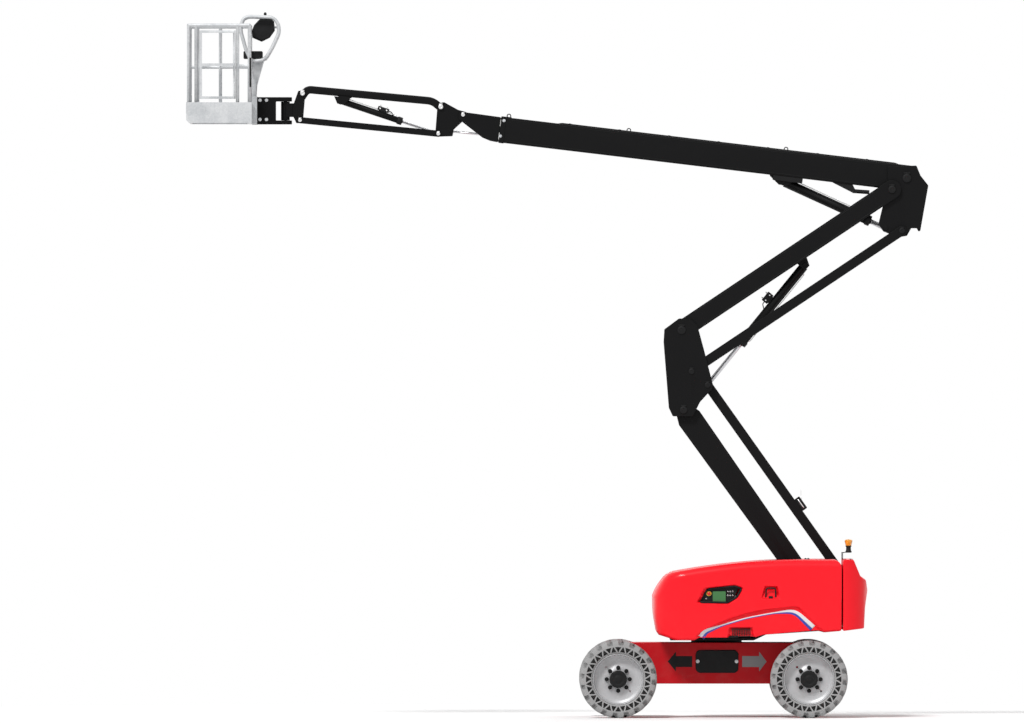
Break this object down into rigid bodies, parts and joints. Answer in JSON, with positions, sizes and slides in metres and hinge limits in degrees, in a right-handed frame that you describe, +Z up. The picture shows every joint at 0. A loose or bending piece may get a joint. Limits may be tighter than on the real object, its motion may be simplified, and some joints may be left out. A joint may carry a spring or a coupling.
{
  "type": "articulating boom lift",
  "caption": "Self-propelled boom lift: steered wheels, slewing turret, folding twin risers, telescopic boom, levelled jib and turning basket.",
  "frame": {"origin": "where the slewing axis meets the ground", "axes": "+Z up, +X from the slewing axis to the counterweight; the machine faces -X, its left side is at -Y"},
  "size_m": [8.9193, 2.38, 8.4306],
  "materials": {
    "tyre_grey": "matte",
    "rim_grey": "satin",
    "chassis_red": "satin",
    "cover_black": "satin",
    "steel_dark": "satin",
    "frame_black": "satin",
    "weight_red": "gloss",
    "hood_red": "gloss",
    "panel_black": "matte",
    "engine_grey": "matte",
    "tank_black": "matte",
    "beacon_amber": "gloss",
    "barrel_black": "gloss",
    "rod_chrome": "polished",
    "basket_grey": "satin"
  },
  "bodies": {
    "chassis": {"chassis_frame": "chassis_red", "chassis_covers": "cover_black", "slew_ring": "steel_dark", "tie_down_eyes": "chassis_red", "front_axle": "chassis_red", "rear_axle": "chassis_red"},
    "front_left_knuckle": {"front_left_knuckle": "steel_dark"},
    "front_left_wheel": {"front_left_rim": "rim_grey", "front_left_tyre": "tyre_grey"},
    "front_right_knuckle": {"front_right_knuckle": "steel_dark"},
    "front_right_wheel": {"front_right_rim": "rim_grey", "front_right_tyre": "tyre_grey"},
    "front_tie_rod": {"front_tie_rod": "steel_dark"},
    "rear_left_knuckle": {"rear_left_knuckle": "steel_dark"},
    "rear_left_wheel": {"rear_left_rim": "rim_grey", "rear_left_tyre": "tyre_grey"},
    "rear_right_knuckle": {"rear_right_knuckle": "steel_dark"},
    "rear_right_wheel": {"rear_right_rim": "rim_grey", "rear_right_tyre": "tyre_grey"},
    "rear_tie_rod": {"rear_tie_rod": "steel_dark"},
    "turret": {"turret_deck": "frame_black", "left_cheek": "frame_black", "right_cheek": "frame_black", "counterweight": "weight_red", "ground_panel": "panel_black", "engine_block": "engine_grey", "fluid_tanks": "tank_black", "beacon": "beacon_amber"},
    "left_hood": {"left_hood": "hood_red"},
    "right_hood": {"right_hood": "hood_red"},
    "lower_arm": {"lower_arm": "frame_black"},
    "lower_link": {"lower_link": "frame_black"},
    "middle_knuckle": {"middle_knuckle": "frame_black"},
    "upper_arm": {"upper_arm": "frame_black"},
    "upper_link": {"upper_link": "frame_black"},
    "top_knuckle": {"top_knuckle": "frame_black"},
    "boom": {"boom_outer": "frame_black"},
    "telescope": {"telescope": "frame_black"},
    "jib_foot": {"jib_foot": "frame_black"},
    "jib_arm": {"jib_arm": "frame_black"},
    "jib_link": {"jib_link": "frame_black"},
    "jib_head": {"jib_head": "frame_black"},
    "lower_barrel": {"lower_barrel": "barrel_black"},
    "lower_rod": {"lower_rod": "rod_chrome"},
    "upper_barrel": {"upper_barrel": "barrel_black"},
    "upper_rod": {"upper_rod": "rod_chrome"},
    "boom_barrel": {"boom_barrel": "barrel_black"},
    "boom_rod": {"boom_rod": "rod_chrome"},
    "level_barrel": {"level_barrel": "barrel_black"},
    "level_rod": {"level_rod": "rod_chrome"},
    "jib_barrel": {"jib_barrel": "barrel_black"},
    "jib_rod": {"jib_rod": "rod_chrome"},
    "basket": {"basket_bracket": "frame_black", "basket_floor": "basket_grey", "near_rails": "basket_grey", "far_rails": "basket_grey", "front_rails": "basket_grey", "rear_rails": "basket_grey", "basket_console": "panel_black"},
    "gate": {"basket_gate": "basket_grey"}
  },
  "joints": [
    {"name": "steer_front", "type": "hinge", "parent": "chassis", "child": "front_left_knuckle", "pos_m": [-1.186, -0.76, 0.466], "axis": [0, 0, 1], "range_deg": [-30, 30]},
    {"name": "roll_front_left", "type": "hinge", "parent": "front_left_knuckle", "child": "front_left_wheel", "pos_m": [-1.186, -1.012, 0.466], "axis": [0, 1, 0], "continuous": true},
    {"name": "steer_front_right", "type": "hinge", "parent": "chassis", "child": "front_right_knuckle", "pos_m": [-1.186, 0.76, 0.466], "axis": [0, 0, 1], "range_deg": [-30, 30]},
    {"name": "roll_front_right", "type": "hinge", "parent": "front_right_knuckle", "child": "front_right_wheel", "pos_m": [-1.186, 1.012, 0.466], "axis": [0, 1, 0], "continuous": true},
    {"name": "tie_front", "type": "hinge", "parent": "front_left_knuckle", "child": "front_tie_rod", "pos_m": [-1.396, -0.76, 0.466], "axis": [0, 0, 1], "range_deg": [-30, 30]},
    {"name": "steer_rear", "type": "hinge", "parent": "chassis", "child": "rear_left_knuckle", "pos_m": [1.104, -0.76, 0.466], "axis": [0, 0, 1], "range_deg": [-30, 30]},
    {"name": "roll_rear_left", "type": "hinge", "parent": "rear_left_knuckle", "child": "rear_left_wheel", "pos_m": [1.104, -1.012, 0.466], "axis": [0, 1, 0], "continuous": true},
    {"name": "steer_rear_right", "type": "hinge", "parent": "chassis", "child": "rear_right_knuckle", "pos_m": [1.104, 0.76, 0.466], "axis": [0, 0, 1], "range_deg": [-30, 30]},
    {"name": "roll_rear_right", "type": "hinge", "parent": "rear_right_knuckle", "child": "rear_right_wheel", "pos_m": [1.104, 1.012, 0.466], "axis": [0, 1, 0], "continuous": true},
    {"name": "tie_rear", "type": "hinge", "parent": "rear_left_knuckle", "child": "rear_tie_rod", "pos_m": [1.314, -0.76, 0.466], "axis": [0, 0, 1], "range_deg": [-30, 30]},
    {"name": "slew", "type": "hinge", "parent": "chassis", "child": "turret", "pos_m": [0, 0, 0.9], "axis": [0, 0, 1], "range_deg": [-175, 175]},
    {"name": "open_left_hood", "type": "hinge", "parent": "turret", "child": "left_hood", "pos_m": [1.24, -0.219, 1.878], "axis": [-1, 0, 0], "range_deg": [0, 65]},
    {"name": "open_right_hood", "type": "hinge", "parent": "turret", "child": "right_hood", "pos_m": [1.24, 0.219, 1.878], "axis": [1, 0, 0], "range_deg": [0, 65]},
    {"name": "lower_riser", "type": "hinge", "parent": "turret", "child": "lower_arm", "pos_m": [1.22, 0, 1.416], "axis": [0, 1, 0], "range_deg": [-50.66, 15.34]},
    {"name": "lower_link_foot", "type": "hinge", "parent": "turret", "child": "lower_link", "pos_m": [1.51, 0, 1.716], "axis": [0, 1, 0], "range_deg": [-50.66, 15.34]},
    {"name": "middle_level", "type": "hinge", "parent": "lower_arm", "child": "middle_knuckle", "pos_m": [-0.3967, 0, 3.69598], "axis": [0, 1, 0], "range_deg": [-15.34, 50.66]},
    {"name": "upper_riser", "type": "hinge", "parent": "middle_knuckle", "child": "upper_arm", "pos_m": [-0.4207, 0, 4.65598], "axis": [0, -1, 0], "range_deg": [-23.75, 36.25]},
    {"name": "upper_link_foot", "type": "hinge", "parent": "middle_knuckle", "child": "upper_link", "pos_m": [-0.3007, 0, 4.15998], "axis": [0, -1, 0], "range_deg": [-23.75, 36.25]},
    {"name": "top_level", "type": "hinge", "parent": "upper_arm", "child": "top_knuckle", "pos_m": [2.11112, 0, 6.34769], "axis": [0, -1, 0], "range_deg": [-36.25, 23.75]},
    {"name": "boom", "type": "hinge", "parent": "top_knuckle", "child": "boom", "pos_m": [2.29112, 0, 6.48469], "axis": [0, -1, 0], "range_deg": [-68.19, 6.81]},
    {"name": "extend", "type": "slide", "parent": "boom", "child": "telescope", "axis": [-0.9929, 0, 0.1186], "range_m": [0, 3.3]},
    {"name": "basket_level", "type": "hinge", "parent": "telescope", "child": "jib_foot", "pos_m": [-3.04913, 0, 7.2473], "axis": [0, -1, 0], "range_deg": [-6.81, 68.19]},
    {"name": "jib", "type": "hinge", "parent": "jib_foot", "child": "jib_arm", "pos_m": [-3.31713, 0, 7.3433], "axis": [0, -1, 0], "range_deg": [-54.4, 60.6]},
    {"name": "jib_link_foot", "type": "hinge", "parent": "jib_foot", "child": "jib_link", "pos_m": [-3.34713, 0, 7.0193], "axis": [0, -1, 0], "range_deg": [-54.4, 60.6]},
    {"name": "jib_level", "type": "hinge", "parent": "jib_arm", "child": "jib_head", "pos_m": [-4.98115, 0, 7.50646], "axis": [0, -1, 0], "range_deg": [-60.6, 54.4]},
    {"name": "basket_turn", "type": "hinge", "parent": "jib_head", "child": "basket", "pos_m": [-5.18715, 0, 7.2], "axis": [0, 0, 1], "range_deg": [-90, 90]},
    {"name": "gate", "type": "hinge", "parent": "basket", "child": "gate", "pos_m": [-5.79415, -0.871, 7.5], "axis": [0, 0, -1], "range_deg": [0, 90]},
    {"name": "lower_barrel_turn", "type": "hinge", "parent": "turret", "child": "lower_barrel", "pos_m": [-0.1, 0, 1.06], "axis": [0, -1, 0], "range_deg": [-18.27, 5.57]},
    {"name": "lower_rod_slide", "type": "slide", "parent": "lower_barrel", "child": "lower_rod", "axis": [0.8014, 0, 0.5981], "range_m": [-0.3323, 0.10097]},
    {"name": "upper_barrel_turn", "type": "hinge", "parent": "upper_arm", "child": "upper_barrel", "pos_m": [1.06535, 0, 5.43966], "axis": [0, -1, 0], "range_deg": [-7.08, 4.66]},
    {"name": "upper_rod_slide", "type": "slide", "parent": "upper_barrel", "child": "upper_rod", "axis": [-0.6303, 0, -0.7764], "range_m": [-0.25257, 0.38523]},
    {"name": "boom_barrel_turn", "type": "hinge", "parent": "boom", "child": "boom_barrel", "pos_m": [0.80564, 0, 6.44253], "axis": [0, -1, 0], "range_deg": [-1.1, 10.57]},
    {"name": "boom_rod_slide", "type": "slide", "parent": "boom_barrel", "child": "boom_rod", "axis": [0.9098, 0, -0.4151], "range_m": [-0.06937, 0.69011]},
    {"name": "level_barrel_turn", "type": "hinge", "parent": "telescope", "child": "level_barrel", "pos_m": [-2.21028, 0, 6.94661], "axis": [0, -1, 0], "range_deg": [-0.28, 2.35]},
    {"name": "level_rod_slide", "type": "slide", "parent": "level_barrel", "child": "level_rod", "axis": [-0.9947, 0, 0.1027], "range_m": [-0.28527, 0.02894]},
    {"name": "jib_barrel_turn", "type": "hinge", "parent": "jib_arm", "child": "jib_barrel", "pos_m": [-4.52584, 0, 7.41559], "axis": [0, -1, 0], "range_deg": [-1.26, 1.14]},
    {"name": "jib_rod_slide", "type": "slide", "parent": "jib_barrel", "child": "jib_rod", "axis": [0.9479, 0, -0.3187], "range_m": [-0.30994, 0.27829]}
  ],
  "couplings": [
    {"joint": "steer_front_right", "follows": "steer_front", "ratio": 1},
    {"joint": "tie_front", "follows": "steer_front", "ratio": -1},
    {"joint": "steer_rear_right", "follows": "steer_rear", "ratio": 1},
    {"joint": "tie_rear", "follows": "steer_rear", "ratio": -1},
    {"joint": "lower_link_foot", "follows": "lower_riser", "ratio": 1},
    {"joint": "middle_level", "follows": "lower_riser", "ratio": -1},
    {"joint": "upper_link_foot", "follows": "upper_riser", "ratio": 1},
    {"joint": "top_level", "follows": "upper_riser", "ratio": -1},
    {"joint": "basket_level", "follows": "boom", "ratio": -1},
    {"joint": "jib_link_foot", "follows": "jib", "ratio": 1},
    {"joint": "jib_level", "follows": "jib", "ratio": -1},
    {"joint": "lower_barrel_turn", "follows": "lower_riser", "ratio": 0.35965},
    {"joint": "lower_rod_slide", "follows": "lower_riser", "m_per_rad": 0.37526},
    {"joint": "upper_barrel_turn", "follows": "upper_riser", "ratio": -0.19404},
    {"joint": "upper_rod_slide", "follows": "upper_riser", "m_per_rad": 0.6081},
    {"joint": "boom_barrel_turn", "follows": "boom", "ratio": -0.1543},
    {"joint": "boom_rod_slide", "follows": "boom", "m_per_rad": -0.57944},
    {"joint": "level_barrel_turn", "follows": "boom", "ratio": -0.033696},
    {"joint": "level_rod_slide", "follows": "boom", "m_per_rad": 0.23927},
    {"joint": "jib_barrel_turn", "follows": "jib", "ratio": -0.019972},
    {"joint": "jib_rod_slide", "follows": "jib", "m_per_rad": -0.29257}
  ]
}
